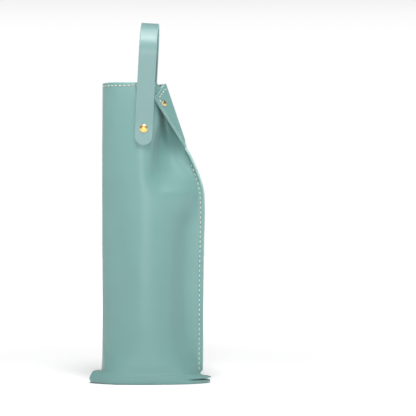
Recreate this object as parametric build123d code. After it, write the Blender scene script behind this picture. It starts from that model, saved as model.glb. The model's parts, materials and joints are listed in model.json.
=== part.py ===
from build123d import *
import math
import os

# A soft gift bag for one bottle of wine, standing empty and open on a table. It is one sheet of coated
# leather wrapped into a tube: soft bend on the left, stitched two-layer seam on the right, boxed base with a
# flat tab at each side. The top of the seam is folded to the front, and a strap handle turns on two rivets.
# +X is to the right, +Y to the back and +Z up. The origin is under the middle of the bag, on the table.

# ---- The sheet -------------------------------------------------------------------------------------------
SHEET = 1.2                # thickness of the coated leather
RIM_Z = 307.0              # height of the mouth
HALF_DEPTH = 23.6          # from the middle plane to the front or back
LEFT_X = -48.5             # the soft bend on the left
BEND_REACH = 17.0          # from there to where the front and back are flat
SEAM_X = 49.5              # where front and back come together on the right
TAPER_LENGTH = 31.0        # over which they draw together
SEAM_ANGLE = 36.0          # each of them to the middle plane, where they meet
SEAM_WIDTH = 6.0           # the two layers that stand out past that, raw edge included
SHOULDER_DROP = 114.0      # the seam leans inwards from here up to the fold, measured down from the mouth
FLOOR = 1.6

# ---- The folded corner -----------------------------------------------------------------------------------
FOLD_TOP_IN = 41.7         # the fold line leaves the mouth this far in from the seam's raw edge
FOLD_END_IN = 19.3         # and ends this far in,
FOLD_END_DROP = 66.0       # this far below the mouth
FOLD_ANGLE = 128.0         # how far the corner is folded to the front, from opened flat
CORNER_REACH = 24.0        # from the fold line to the corner's tip
CORNER_DROP = 11.8         # along the fold line, from the mouth to the tip
CORNER_THICKNESS = 2.8     # two layers and what lies between them
FOLD_GAP = 1.3             # each side of the fold line, so that the corner turns freely
CORNER_SLIT = 0.6          # between the two layers at the mouth edge
CORNER_SLIT_DEPTH = 9.0

# ---- The base --------------------------------------------------------------------------------------------
BASE_TOP_Z = 22.0          # the tube has its full shape above this height
BASE_SIDE_IN = 3.0         # the tube is this much shorter at the table, each side
BASE_DEPTH_IN = 1.6        # and this much shallower, front and back
BASE_END_HALF = 15.0       # half of its right-hand end, front to back
TAB_REACH = 62.0           # outer end of the left tab, from the middle
RIGHT_TAB_REACH = 61.6
TAB_ROOT_HALF = 15.0       # half of a tab, front to back, where it leaves the base
TAB_END_HALF = 10.5        # and at its outer end
TAB_ROOT_TALL = 9.6
LEFT_TAB_TALL = 8.0
LEFT_TAB_LIFT = 1.4        # its outer end stands off the table
RIGHT_TAB_TALL = 6.6
RIGHT_TAB_LIFT = 0.3
TAB_SLIT = 7.0             # depth of the open end between a tab's two layers

# ---- The mouth facing and the stitching ------------------------------------------------------------------
FACING_WIDTH = 10.0
FACING = 0.9
STITCH_FROM_EDGE = 4.0
RIM_PITCH = 4.5            # of the stitches round the mouth, folded corner included
SEAM_PITCH = 5.0           # of the stitches up the side
STITCH_LENGTH = 3.6
THREAD = 0.7
THREAD_LIFT = 0.12         # between a stitch and the sheet under it

# ---- The strap and its rivets ----------------------------------------------------------------------------
STRAP_WIDTH = 18.0
STRAP_PLY = 1.25           # one of its two plies
STRAP_LEAN = 3.1           # degrees from upright, to the right
STRAP_RISE = 62.5          # top of the loop above the mouth
STRAP_CLEAR = 0.5          # between the strap and the front or back of the bag
STRAP_SPLAY = 5.0          # degrees outwards above the rivet
SPLAY_ABOVE_RIVET = 5.0
END_BELOW_RIVET = 16.8
RIVET_X = -5.4
RIVET_DROP = 47.0          # below the mouth
RIVET_HEAD_R = 4.0
RIVET_HEAD_RIM = 0.45      # height of a cap's upright rim
RIVET_DOME = 1.5           # height of a cap in all
RIVET_POST_R = 1.5
POST_HEAD = 0.8
TURNING_CLEAR = 0.08       # round a rivet's post, in the strap
SNUG_CLEAR = 0.05          # round a rivet's post, in the sheet
HEAD_CLEAR = 0.15          # under a rivet's head
SMALL_HEAD_R = 2.9
SMALL_POST_R = 1.1
SMALL_RIVET_DROP = 20.0    # along the fold line, from the mouth
SMALL_RIVET_REACH = 12.5   # from the fold line

# ---- What follows from those -----------------------------------------------------------------------------
SEAM_EDGE_X = SEAM_X + SEAM_WIDTH
SHOULDER_Z = RIM_Z - SHOULDER_DROP
FOLD_END_Z = RIM_Z - FOLD_END_DROP
RIVET_Z = RIM_Z - RIVET_DROP
STRAP_TOP_Z = RIM_Z + STRAP_RISE


# The fold line, from the mouth down to the seam's raw edge. It lies in the front face of the two layers.
FOLD_TOP = Vector(SEAM_EDGE_X - FOLD_TOP_IN, -CORNER_THICKNESS / 2, RIM_Z)
FOLD_END = Vector(SEAM_EDGE_X - FOLD_END_IN, -CORNER_THICKNESS / 2, FOLD_END_Z)
ALONG_FOLD = (FOLD_END - FOLD_TOP).normalized()
FOLD_LENGTH = (FOLD_END - FOLD_TOP).length


def fold_x(z):
    """Where the fold line is at a height."""
    share = (FOLD_TOP.Z - z) / (FOLD_TOP.Z - FOLD_END.Z)
    return FOLD_TOP.X + share * (FOLD_END.X - FOLD_TOP.X)


# ---- The tube --------------------------------------------------------------------------------------------
# Each row: height, where the right-hand end is, half of that end's width, how much shorter and shallower.
TUBE_ROWS = (
    (0.0, SEAM_X - BASE_SIDE_IN, BASE_END_HALF, BASE_SIDE_IN, BASE_DEPTH_IN),
    (BASE_TOP_Z, SEAM_X, SHEET, 0.0, 0.0),
    (SHOULDER_Z, SEAM_X, SHEET, 0.0, 0.0),
    (FOLD_END_Z, fold_x(FOLD_END_Z) - FOLD_GAP - 1.5, SHEET, 0.0, 0.0),
    (RIM_Z, fold_x(RIM_Z) - FOLD_GAP - 0.6, SHEET, 0.0, 0.0),
)


def tube_section(row, inset, end_inset, z):
    """The tube cut level: flat front and back, round on the left, drawn together on the right."""
    _, right, end_half, shorter, shallower = row
    left = LEFT_X + shorter + inset
    depth = HALF_DEPTH - shallower - inset
    flat_from = LEFT_X + BEND_REACH
    flat_to = right - TAPER_LENGTH
    right -= end_inset
    end = max(end_half - inset, 0.4)
    slope = math.radians(SEAM_ANGLE)
    pull = TAPER_LENGTH * 0.38
    round_x = (flat_from - left) * 0.55
    round_y = depth * 0.55
    edges = []
    for side in (-1, 1):
        edges.append(Line((flat_from, side * depth), (flat_to, side * depth)))
        edges.append(Bezier(
            (flat_to, side * depth),
            (flat_to + pull, side * depth),
            (right - pull * math.cos(slope), side * (end + pull * math.sin(slope) * (depth - end) / depth)),
            (right, side * end),
        ))
        edges.append(Bezier(
            (flat_from, side * depth),
            (flat_from - round_x, side * depth),
            (left, side * round_y),
            (left, 0),
        ))
    edges.append(Line((right, -end), (right, end)))
    return Pos(0, 0, z) * make_face(edges)


def row_at(z):
    """The row for any height, between the rows of the table."""
    for low, high in zip(TUBE_ROWS, TUBE_ROWS[1:]):
        if z <= high[0]:
            share = (z - low[0]) / (high[0] - low[0])
            return tuple(a + share * (b - a) for a, b in zip(low, high))
    return TUBE_ROWS[-1]


def tube(inset, end_inset, floor, top):
    """A solid tube through all the rows."""
    faces = []
    for row in TUBE_ROWS:
        z = floor if row is TUBE_ROWS[0] else row[0]
        z = top if row is TUBE_ROWS[-1] else z
        faces.append(tube_section(row, inset, end_inset, z))
    return loft(faces, ruled=True)


END_LAYERS = 4.5           # the hollow stops this far short of the right-hand end


def hollow(extra):
    """The space inside the sheet, less extra all round."""
    return tube(SHEET + extra, END_LAYERS + extra, FLOOR, RIM_Z + 2)


def seam_layers():
    """The two layers of the side seam, flat in the middle plane, leaning in above the shoulder."""
    inner = SEAM_X - 3.0
    top_x = FOLD_END.X - FOLD_GAP
    outline = Polyline(
        (inner, 0, 16.0),
        (SEAM_EDGE_X, 0, 18.0),
        (SEAM_EDGE_X, 0, SHOULDER_Z),
        (top_x, 0, FOLD_END_Z),
        (top_x - 5.0, 0, FOLD_END_Z - 4.0),
        (inner, 0, SHOULDER_Z),
        close=True,
    )
    return extrude(make_face(outline), SHEET, dir=(0, 1, 0), both=True)


def tab(side, root_x, reach, lift, tall):
    """A base tab: two layers flattened out sideways, open at the end."""
    root = Plane(origin=(side * root_x, 0, 0), x_dir=(0, 1, 0), z_dir=(side, 0, 0))
    end = Plane(origin=(side * reach, 0, 0), x_dir=(0, 1, 0), z_dir=(side, 0, 0))
    up = side
    faces = [
        root * Pos(0, up * (0.2 + TAB_ROOT_TALL / 2)) * RectangleRounded(2 * TAB_ROOT_HALF, TAB_ROOT_TALL, 3.0),
        end * Pos(0, up * (lift + tall / 2)) * RectangleRounded(2 * TAB_END_HALF, tall, 2.6),
    ]
    slit_tall = tall - 2 * SHEET
    slit = RectangleRounded(2 * (TAB_END_HALF - SHEET), slit_tall, slit_tall * 0.4)
    mouth = end * Pos(0, up * (lift + tall / 2)) * slit
    return loft(faces, ruled=True) - extrude(mouth, amount=1.0) - extrude(mouth, amount=-TAB_SLIT)


# ---- Rivets ----------------------------------------------------------------------------------------------
def domed_cap(radius):
    """A shallow dome with an upright rim, its flat underside at the origin and its top towards +Z."""
    rise = RIVET_DOME - RIVET_HEAD_RIM
    ball = (radius * radius + rise * rise) / (2 * rise)
    dome = Pos(0, 0, RIVET_DOME - ball) * Sphere(ball)
    return dome & Pos(0, 0, RIVET_DOME / 2) * Cylinder(radius, RIVET_DOME)


def rivet(place, head_r, post_r, inner, outer):
    """Cap and post of a double-cap rivet along a plane's normal: its heads sit outside inner and outer."""
    cap = Pos(0, 0, outer + HEAD_CLEAR) * domed_cap(head_r)
    cap -= Pos(0, 0, outer) * Cylinder(post_r + 0.02, 1.4)
    post = Pos(0, 0, (inner + outer + HEAD_CLEAR) / 2) * Cylinder(post_r, outer - inner + 1.1)
    head = Pos(0, 0, inner - HEAD_CLEAR - POST_HEAD / 2) * Cylinder(head_r, POST_HEAD)
    head = fillet(head.edges().sort_by(Axis.Z)[0], 0.3)
    return place * cap, place * (post + head)


def rivet_place(side):
    """The plane of a handle rivet: its origin in the middle of the bag, its normal straight out."""
    return Plane(origin=(RIVET_X, 0, RIVET_Z), x_dir=(1, 0, 0), z_dir=(0, side, 0))


def post_hole(side, radius):
    """What is cut through strap or sheet for a handle rivet's post."""
    return rivet_place(side) * Pos(0, 0, HALF_DEPTH) * Cylinder(radius, 16)


# ---- Stitching -------------------------------------------------------------------------------------------
def stitch(at, along, out):
    """One stitch: a short length of thread that lies on the sheet."""
    place = Plane(origin=at + out * (THREAD_LIFT + THREAD / 2), x_dir=along, z_dir=out)
    return place * Box(STITCH_LENGTH, THREAD, THREAD)


def stitch_run(start, end, out, pitch):
    """Stitches on a straight run, one pitch apart."""
    along = (end - start).normalized()
    count = int((end - start).length / pitch)
    return [stitch(start + along * (pitch * (i + 0.5)), along, out) for i in range(count)]


def rim_stitches():
    """Round the mouth, outside: front and back, stopping short of the fold."""
    z = RIM_Z - STITCH_FROM_EDGE
    outline = tube_section(row_at(z), 0.0, 0.0, z).wire()
    middle = Vector(0, 0, z)
    stitches = []
    count = int(outline.length / RIM_PITCH)
    for i in range(count):
        at, along = outline @ (i / count), outline % (i / count)
        out = along.cross(Vector(0, 0, 1))
        if out.dot(at - middle) < 0:
            out = out * -1
        if at.X < row_at(z)[1] - 4.0:
            stitches.append(stitch(at + out * 0.12, along, out))
    return stitches


def side_seam_stitches():
    """Up the side seam, on its front and back faces."""
    x = SEAM_EDGE_X - STITCH_FROM_EDGE
    stitches = []
    for side in (-1, 1):
        face_y = side * SHEET
        foot, bend = Vector(x, face_y, 24.0), Vector(x, face_y, SHOULDER_Z - 1)
        stitches += stitch_run(foot, bend, Vector(0, side, 0), SEAM_PITCH)
    return stitches


# ---- The folded corner -----------------------------------------------------------------------------------
def corner_place(reach_from_fold, drop, lift):
    """A place on the corner when it is opened flat: across the fold, along it, and off the front face."""
    across = Vector(-ALONG_FOLD.Z, 0, ALONG_FOLD.X)
    return FOLD_TOP + across * reach_from_fold + ALONG_FOLD * drop + Vector(0, CORNER_THICKNESS - lift, 0)


FOLD_AXIS = Axis(FOLD_TOP, ALONG_FOLD)


def folded(shape):
    """A shape of the corner turned from opened flat to where it lies."""
    return shape.rotate(FOLD_AXIS, FOLD_ANGLE)


def corner_parts():
    """The corner with its stitching and its small rivet, all turned about the fold line."""
    tip = corner_place(CORNER_REACH, CORNER_DROP, 0)
    top = corner_place(FOLD_GAP, 0.8, 0)
    end = corner_place(FOLD_GAP, FOLD_LENGTH - 3.0, 0)
    outline = Polyline(top, tip, end, close=True)
    flap = extrude(make_face(outline), CORNER_THICKNESS, dir=(0, -1, 0))
    middle = Vector(0, -CORNER_THICKNESS / 2, 0)
    mouth = (tip - top).normalized()
    inward = Vector(mouth.Z, 0, -mouth.X)
    if inward.dot(ALONG_FOLD) < 0:
        inward = inward * -1
    slit_at = Plane(origin=(top + tip) * 0.5 + middle, x_dir=mouth, z_dir=(0, 1, 0))
    slit_long = (tip - top).length - 12.0
    flap -= slit_at * Box(slit_long, 2 * CORNER_SLIT_DEPTH, CORNER_SLIT)
    seam = (end - tip).normalized()
    seam_in = Vector(-seam.Z, 0, seam.X)
    if seam_in.dot(top - tip) < 0:
        seam_in = seam_in * -1
    stitches = []
    for out in (1, -1):
        shift = Vector(0, 0, 0) if out > 0 else Vector(0, -CORNER_THICKNESS, 0)
        face = Vector(0, out, 0)
        start = top + inward * STITCH_FROM_EDGE + mouth * 3.0 + shift
        stop = tip + inward * STITCH_FROM_EDGE - mouth * 9.0 + shift
        stitches += stitch_run(start, stop, face, RIM_PITCH)
        start = tip + seam_in * STITCH_FROM_EDGE + seam * 8.0 + shift
        stop = end + seam_in * STITCH_FROM_EDGE - seam * 11.0 + shift
        stitches += stitch_run(start, stop, face, RIM_PITCH)
    at = corner_place(SMALL_RIVET_REACH, SMALL_RIVET_DROP, 0)
    place = Plane(origin=at, x_dir=(1, 0, 0), z_dir=(0, 1, 0))
    flap -= place * Cylinder(SMALL_POST_R + SNUG_CLEAR, 4 * CORNER_THICKNESS)
    cap, post = rivet(place, SMALL_HEAD_R, SMALL_POST_R, -CORNER_THICKNESS, 0.0)
    return {
        "folded_corner": folded(flap),
        "corner_stitching": folded(Compound(stitches)),
        "corner_rivet_cap": folded(cap),
        "corner_rivet_post": folded(post),
    }


# ---- The strap -------------------------------------------------------------------------------------------
def strap_edge(inset):
    """The strap's path seen from the side, at a distance in from its outside face."""
    splay = math.radians(STRAP_SPLAY)
    leg = HALF_DEPTH + STRAP_CLEAR + 2 * STRAP_PLY
    bend_z = RIVET_Z + SPLAY_ABOVE_RIVET
    crown_r = (leg + math.tan(splay) * (STRAP_TOP_Z - bend_z)) / (
        math.cos(splay) + math.tan(splay) * (1 + math.sin(splay)))
    crown_z = STRAP_TOP_Z - crown_r
    foot_z = RIVET_Z - END_BELOW_RIVET - 1
    arch_r = crown_r - inset
    arch = (arch_r * math.cos(splay), crown_z - arch_r * math.sin(splay))
    knee_y = leg - inset
    knee = (knee_y, arch[1] - (arch[0] - knee_y) / math.tan(splay))
    return [
        Line((-knee_y, foot_z), (-knee[0], knee[1])),
        Line((-knee[0], knee[1]), (-arch[0], arch[1])),
        ThreePointArc((-arch[0], arch[1]), (0, crown_z + arch_r), arch),
        Line(arch, knee),
        Line(knee, (knee_y, foot_z)),
    ]


def strap_ply(outer, inner):
    """One ply of the strap, between two distances in from its outside face."""
    outside, inside = strap_edge(outer), strap_edge(inner)
    ends = [Line(outside[0] @ 0, inside[0] @ 0), Line(outside[-1] @ 1, inside[-1] @ 1)]
    side_view = Plane(origin=(RIVET_X, 0, 0), x_dir=(0, 1, 0), z_dir=(1, 0, 0))
    band = extrude(side_view * make_face([*outside, *inside, *ends]), STRAP_WIDTH / 2, both=True)
    half = STRAP_WIDTH / 2
    end_z = RIVET_Z - END_BELOW_RIVET
    front_view = Plane(origin=(RIVET_X, 0, 0), x_dir=(1, 0, 0), z_dir=(0, -1, 0))
    outline = [
        Line((-half, end_z + half), (-half, STRAP_TOP_Z + 5)),
        Line((-half, STRAP_TOP_Z + 5), (half, STRAP_TOP_Z + 5)),
        Line((half, STRAP_TOP_Z + 5), (half, end_z + half)),
        ThreePointArc((half, end_z + half), (0, end_z), (-half, end_z + half)),
    ]
    ply = band & extrude(front_view * make_face(outline), 60, both=True)
    for side in (-1, 1):
        ply -= post_hole(side, RIVET_POST_R + TURNING_CLEAR)
    return ply.rotate(Axis((RIVET_X, 0, RIVET_Z), (0, 1, 0)), STRAP_LEAN)


# ---- Everything ------------------------------------------------------------------------------------------
def bag_parts():
    """The sheet with its mouth facing, the stitching that stays with it, and the handle rivets."""
    inside = hollow(0.0)
    sheet = tube(0.0, 0.0, 0.0, RIM_Z) + seam_layers()
    sheet += tab(-1, -LEFT_X - 9.0, TAB_REACH, LEFT_TAB_LIFT, LEFT_TAB_TALL)
    sheet += tab(1, SEAM_X - 8.0, RIGHT_TAB_REACH, RIGHT_TAB_LIFT, RIGHT_TAB_TALL)
    sheet -= inside
    for side in (-1, 1):
        sheet -= post_hole(side, RIVET_POST_R + SNUG_CLEAR)
    band = Pos(0, 0, RIM_Z - FACING_WIDTH / 2) * Box(300, 300, FACING_WIDTH)
    parts = {
        "body_sheet": sheet,
        "mouth_facing": (inside & band) - hollow(FACING),
        "rim_stitching": Compound(rim_stitches()),
        "side_seam_stitching": Compound(side_seam_stitches()),
    }
    outer = HALF_DEPTH + STRAP_CLEAR + 2 * STRAP_PLY
    for name, side in (("front", -1), ("rear", 1)):
        cap, post = rivet(rivet_place(side), RIVET_HEAD_R, RIVET_POST_R, HALF_DEPTH - SHEET, outer)
        parts[f"{name}_rivet_cap"] = cap
        parts[f"{name}_rivet_post"] = post
    return parts


strap_parts = {
    "strap_face": strap_ply(0.0, STRAP_PLY),
    "strap_backing": strap_ply(STRAP_PLY, 2 * STRAP_PLY),
}

os.makedirs("parts", exist_ok=True)
for name, shape in {**bag_parts(), **corner_parts(), **strap_parts}.items():
    export_step(shape, f"parts/{name}.step")
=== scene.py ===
import json
import math
import bmesh
import bpy
import numpy as np
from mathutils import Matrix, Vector


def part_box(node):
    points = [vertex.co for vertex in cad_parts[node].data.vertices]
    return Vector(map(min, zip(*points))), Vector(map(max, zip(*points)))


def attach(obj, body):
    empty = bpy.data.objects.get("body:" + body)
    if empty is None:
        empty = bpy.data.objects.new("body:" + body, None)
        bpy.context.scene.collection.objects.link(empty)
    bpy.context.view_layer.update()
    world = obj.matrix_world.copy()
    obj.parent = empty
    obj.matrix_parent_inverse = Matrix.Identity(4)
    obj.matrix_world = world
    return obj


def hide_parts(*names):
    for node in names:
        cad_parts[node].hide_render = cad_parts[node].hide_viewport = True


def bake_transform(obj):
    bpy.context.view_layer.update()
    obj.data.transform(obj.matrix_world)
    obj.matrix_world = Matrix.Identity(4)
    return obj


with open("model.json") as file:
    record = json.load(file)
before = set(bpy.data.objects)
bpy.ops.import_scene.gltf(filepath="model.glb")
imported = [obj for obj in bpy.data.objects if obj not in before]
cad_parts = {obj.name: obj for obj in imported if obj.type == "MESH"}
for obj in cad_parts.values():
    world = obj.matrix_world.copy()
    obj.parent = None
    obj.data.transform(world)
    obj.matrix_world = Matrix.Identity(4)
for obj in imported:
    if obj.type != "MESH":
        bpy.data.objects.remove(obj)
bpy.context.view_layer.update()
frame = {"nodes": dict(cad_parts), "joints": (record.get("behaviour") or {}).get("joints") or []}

# ==== The bag's sheet ========================================================================================
# One sheet of polyurethane-coated leather cloth, wrapped into a tube: a soft bend on the left, and on the
# right its two edges sewn together so that they stand out. Below, it is folded in under the bag and its spare
# width stands out at each side as a two-layer tab. Die cut, creased by hand, folded and lock-sewn.

MM = 0.001


def srgb(code):
    """A hex colour as the linear colour that a shader takes."""
    parts = [int(code[i:i + 2], 16) / 255 for i in (1, 3, 5)]
    return [p / 12.92 if p <= 0.04045 else ((p + 0.055) / 1.055) ** 2.4 for p in parts] + [1.0]


def material(name):
    """A new material with its Principled shader."""
    made = bpy.data.materials.new(name)
    made.use_nodes = True
    return made, made.node_tree, made.node_tree.nodes["Principled BSDF"]


def add(tree, kind, settings=None, **links):
    """Adds a node. Settings are its inputs or its properties; links are inputs fed by sockets, i0 the first."""
    node = tree.nodes.new(kind)
    for key, value in (settings or {}).items():
        if isinstance(key, int) or key in node.inputs:
            node.inputs[key].default_value = value
        else:
            setattr(node, key, value)
    for key, socket in links.items():
        name = int(key[1:]) if key[0] == "i" and key[1:].isdigit() else key
        tree.links.new(socket, node.inputs[name])
    return node


def coated_leather(name, pale, deep, roughness, grain_height):
    """Smooth coated leather: a cloudy tone, a fine pebbled emboss, and small patches that shine less."""
    made, tree, shader = material(name)
    place = add(tree, "ShaderNodeTexCoord").outputs["Object"]
    cloud = add(tree, "ShaderNodeTexNoise", {"Scale": 1 / (38 * MM), "Detail": 2.0, "Roughness": 0.45},
                Vector=place)
    mottle = add(tree, "ShaderNodeTexNoise", {"Scale": 1 / (2.6 * MM), "Detail": 3.0, "Roughness": 0.6},
                 Vector=place)
    both = add(tree, "ShaderNodeMath", {"operation": "MULTIPLY_ADD", 1: 0.22},
               i0=mottle.outputs["Fac"], i2=cloud.outputs["Fac"])
    tone = add(tree, "ShaderNodeValToRGB", Fac=both.outputs[0])
    tone.color_ramp.elements[0].position = 0.42
    tone.color_ramp.elements[0].color = srgb(deep)
    tone.color_ramp.elements[1].position = 0.82
    tone.color_ramp.elements[1].color = srgb(pale)
    tree.links.new(tone.outputs["Color"], shader.inputs["Base Color"])
    # The emboss is a pebble about 0.55 mm across; real ones go down to 0.2 mm, too fine to show.
    pebble = add(tree, "ShaderNodeTexVoronoi", {"Scale": 1 / (0.55 * MM), "feature": "SMOOTH_F1",
                                                "Smoothness": 0.7}, Vector=place)
    crinkle = add(tree, "ShaderNodeTexNoise", {"Scale": 1 / (1.4 * MM), "Detail": 3.0}, Vector=place)
    relief = add(tree, "ShaderNodeMath", {"operation": "MULTIPLY_ADD", 1: 0.6},
                 i0=crinkle.outputs["Fac"], i2=pebble.outputs["Distance"])
    bump = add(tree, "ShaderNodeBump", {"Strength": 0.35, "Distance": grain_height * MM},
               Height=relief.outputs[0])
    tree.links.new(bump.outputs["Normal"], shader.inputs["Normal"])
    dull = add(tree, "ShaderNodeMapRange", {"From Min": 0.3, "From Max": 0.7, "To Min": roughness - 0.03,
                                            "To Max": roughness + 0.04}, Value=mottle.outputs["Fac"])
    tree.links.new(dull.outputs[0], shader.inputs["Roughness"])
    shader.inputs["IOR"].default_value = 1.49
    shader.inputs["Sheen Weight"].default_value = 0.12
    shader.inputs["Sheen Roughness"].default_value = 0.5
    return made


# Eye: soft satin grey-green, broad highlights with no sparkle.
LEATHER = coated_leather("polyurethane_coated_leather_satin_embossed", "#6e9793", "#6b9490", 0.4, 0.03)
# Eye: a paler, slightly duller line along every cut.
CUT_EDGE = coated_leather("edge_painted_leather_cut", "#9bbdb9", "#90b2af", 0.6, 0.03)


def knitted_backing(name, pale, deep):
    """The matt back of the coated cloth: fine rows of knit, brushed flat."""
    made, tree, shader = material(name)
    place = add(tree, "ShaderNodeTexCoord").outputs["Object"]
    # A wave texture's bands are tau / 20 units apart, so these rows are 2.2 mm apart. Real ones are 0.7 mm
    # apart, too fine to show.
    rows = add(tree, "ShaderNodeTexWave", {"Scale": 1 / (1.1 * MM * math.tau), "bands_direction": "Z",
                                           "Distortion": 1.5, "Detail": 2.0, "Detail Scale": 2.0},
               Vector=place)
    fuzz = add(tree, "ShaderNodeTexNoise", {"Scale": 1 / (0.8 * MM), "Detail": 3.0}, Vector=place)
    tone = add(tree, "ShaderNodeMix", {"data_type": "RGBA", 6: srgb(deep), 7: srgb(pale)},
               i0=fuzz.outputs["Fac"])
    tree.links.new(tone.outputs[2], shader.inputs["Base Color"])
    height = add(tree, "ShaderNodeMath", {"operation": "MULTIPLY_ADD", 1: 0.5},
                 i0=fuzz.outputs["Fac"], i2=rows.outputs["Fac"])
    bump = add(tree, "ShaderNodeBump", {"Strength": 0.4, "Distance": 0.12 * MM}, Height=height.outputs[0])
    tree.links.new(bump.outputs["Normal"], shader.inputs["Normal"])
    shader.inputs["Roughness"].default_value = 0.9
    shader.inputs["Sheen Weight"].default_value = 0.3
    return made


# Eye: flat and matt, a shade deeper than the face.
BACKING = knitted_backing("knitted_polyester_backing_matt", "#6f918e", "#658683")

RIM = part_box("body_sheet")[1].z / MM
fold_joint = [j for j in frame["joints"] if j["name"] == "corner_fold"][0]
fold_top = np.array(fold_joint["pos_m"]) / MM
fold_along = np.array(fold_joint["axis"])
FOLD_END_Z = RIM - 66.0
SHEET = 1.3
# Points from the seam to the left bend, front and back alike, and points round the seam's raw edge.
ACROSS = 72
CAP = 9


def fold_x(z):
    """Where the fold line is at a height."""
    return fold_top[0] + (fold_top[2] - z) * fold_along[0] / -fold_along[2]


# Level cuts through the front, from the seam to the left bend: height, then (x, how far forward) in mm.
FRONT_CUTS = [
    (RIM, [(fold_x(RIM) - 1.5, 1.2), (12.9, 6.5), (12.0, 12.0), (8.6, 17.0), (2.5, 21.0), (-8, 24.6),
           (-24, 25.6), (-37, 22.4), (-45.6, 13), (-48.7, 0)]),
    (290, [(fold_x(290) - 1.5, 1.2), (15.6, -4.5), (12.4, 2.5), (11.2, 11.5), (8.4, 17.6), (2.5, 21.4),
           (-9, 25.2), (-24, 24.4), (-37, 19.8), (-45.6, 11.6), (-48.9, 0)]),
    (268, [(fold_x(268) - 1.5, 1.2), (21.8, -7.0), (14.8, -9.6), (11.2, 2.5), (9.8, 15.0), (6.4, 22.2),
           (-1, 25.6), (-12, 25.8), (-26, 23.0), (-38, 17.8), (-46, 10.4), (-49.0, 0)]),
    (241, [(35.6, 1.3), (29.0, -3.0), (18.6, -4.6), (9.8, 3.4), (5.8, 14.8), (1.8, 23.0), (-5, 26.4),
           (-14, 25.9), (-26, 21.8), (-37.4, 15.4), (-45.6, 8.4), (-49.2, 0)]),
    (218, [(44.4, 1.3), (36.4, 1.4), (25.6, 3.4), (14.4, 8.2), (6.2, 15.8), (0.6, 23.2), (-5, 26.8),
           (-13, 26.4), (-25.5, 21.8), (-37, 15.0), (-45.4, 7.8), (-49.2, 0)]),
    (205, [(48.4, 1.3), (41.2, 4.6), (32, 9.6), (21.5, 14.4), (11.8, 18.8), (3.2, 24.2), (-4, 27.0),
           (-12, 26.6), (-25, 21.8), (-36.8, 14.8), (-45.2, 7.4), (-49.2, 0)]),
    (193, [(49.8, 1.3), (45, 6.4), (38.5, 13.2), (30, 18.8), (20, 22.8), (9, 25.4), (-1, 27.4), (-11, 27.0),
           (-24.5, 22.0), (-36.6, 14.8), (-45.2, 7.3), (-49.2, 0)]),
    (180, [(50.2, 1.3), (45.5, 4.4), (39.4, 10.0), (31.4, 16.8), (21.4, 22.4), (9.5, 26.4), (-2, 28.0),
           (-12, 27.0), (-24.5, 22.2), (-36.4, 14.8), (-45.2, 7.2), (-49.1, 0)]),
    (160, [(50.2, 1.3), (45, 1.6), (38.2, 3.4), (31.5, 10.2), (22.5, 19.6), (10, 26.0), (-3, 28.4),
           (-13, 27.2), (-25, 22.2), (-36.6, 14.6), (-45.2, 7.2), (-49.1, 0)]),
    (110, [(49.6, 1.3), (43.5, 1.4), (35.6, 3.0), (28.6, 9.6), (20, 18.8), (8, 25.4), (-4, 27.2),
           (-13.5, 26.0), (-25, 21.2), (-36.6, 13.8), (-45.0, 6.8), (-48.9, 0)]),
    (60, [(49.0, 1.3), (43, 1.5), (35.8, 3.6), (29, 10.6), (20.4, 20.0), (9, 25.8), (-4, 27.2), (-14.5, 26.0),
          (-26.5, 21.4), (-37.6, 14.2), (-45.4, 7.2), (-48.8, 0)]),
    (32, [(48.8, 1.4), (43.5, 3.4), (37, 9.4), (29.5, 17.4), (20, 23.4), (8, 26.4), (-7, 26.8), (-21, 25.0),
          (-33, 20.6), (-42, 14.8), (-47.2, 8.4), (-49.0, 0)]),
    (19, [(48.8, 2.0), (44.5, 7.4), (38, 14.6), (30, 21.0), (20, 25.0), (8, 26.8), (-8, 27.0), (-24, 26.0),
          (-37, 22.4), (-44.6, 15.6), (-48.2, 8.4), (-49.4, 0)]),
]
# The back hangs free of the fold, so it is simply full.
BACK_CUTS = [
    (RIM, [(fold_x(RIM) - 1.5, 1.2), (11.5, 8), (6, 16), (-2, 22.0), (-12, 25), (-25, 25), (-37, 21.6),
           (-45.6, 12.8), (-48.7, 0)]),
    (268, [(fold_x(268) - 1.5, 1.2), (24, 10.6), (16.5, 17.6), (6, 22.2), (-6, 24.8), (-20, 26), (-35, 22.8),
           (-45.6, 13.2), (-49.0, 0)]),
    (241, [(36.0, 1.3), (32, 9.6), (23.5, 16.2), (11.5, 21.6), (-3, 25.2), (-18, 26.6), (-34, 23.8),
           (-45.5, 13.6), (-49.2, 0)]),
    (218, [(44.4, 1.3), (37, 5.4), (27.5, 12.6), (15, 19.6), (1, 25), (-15, 26.8), (-33, 24), (-45.5, 13.4),
           (-49.2, 0)]),
    (193, [(49.8, 1.3), (43.5, 4.8), (35, 11.4), (24, 18.8), (9, 24.8), (-8, 27.2), (-27, 25.4), (-44, 15.2),
           (-49.2, 0)]),
    (110, [(49.6, 1.3), (43.5, 3.4), (35.5, 8.6), (25, 15.6), (11, 22.4), (-6, 25.6), (-26, 23.8),
           (-43.5, 14), (-48.9, 0)]),
    (32, [(48.8, 1.4), (43.5, 4.6), (36, 11.4), (27, 18.4), (13, 24.2), (-6, 26), (-27, 24.8), (-43.5, 15.6),
          (-49.0, 0)]),
    (19, [(48.8, 2.0), (44.5, 8.0), (38, 15.0), (28, 21.6), (14, 25.2), (-6, 26.0), (-28, 25.0), (-44, 16.4),
          (-49.4, 0)]),
]
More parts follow.
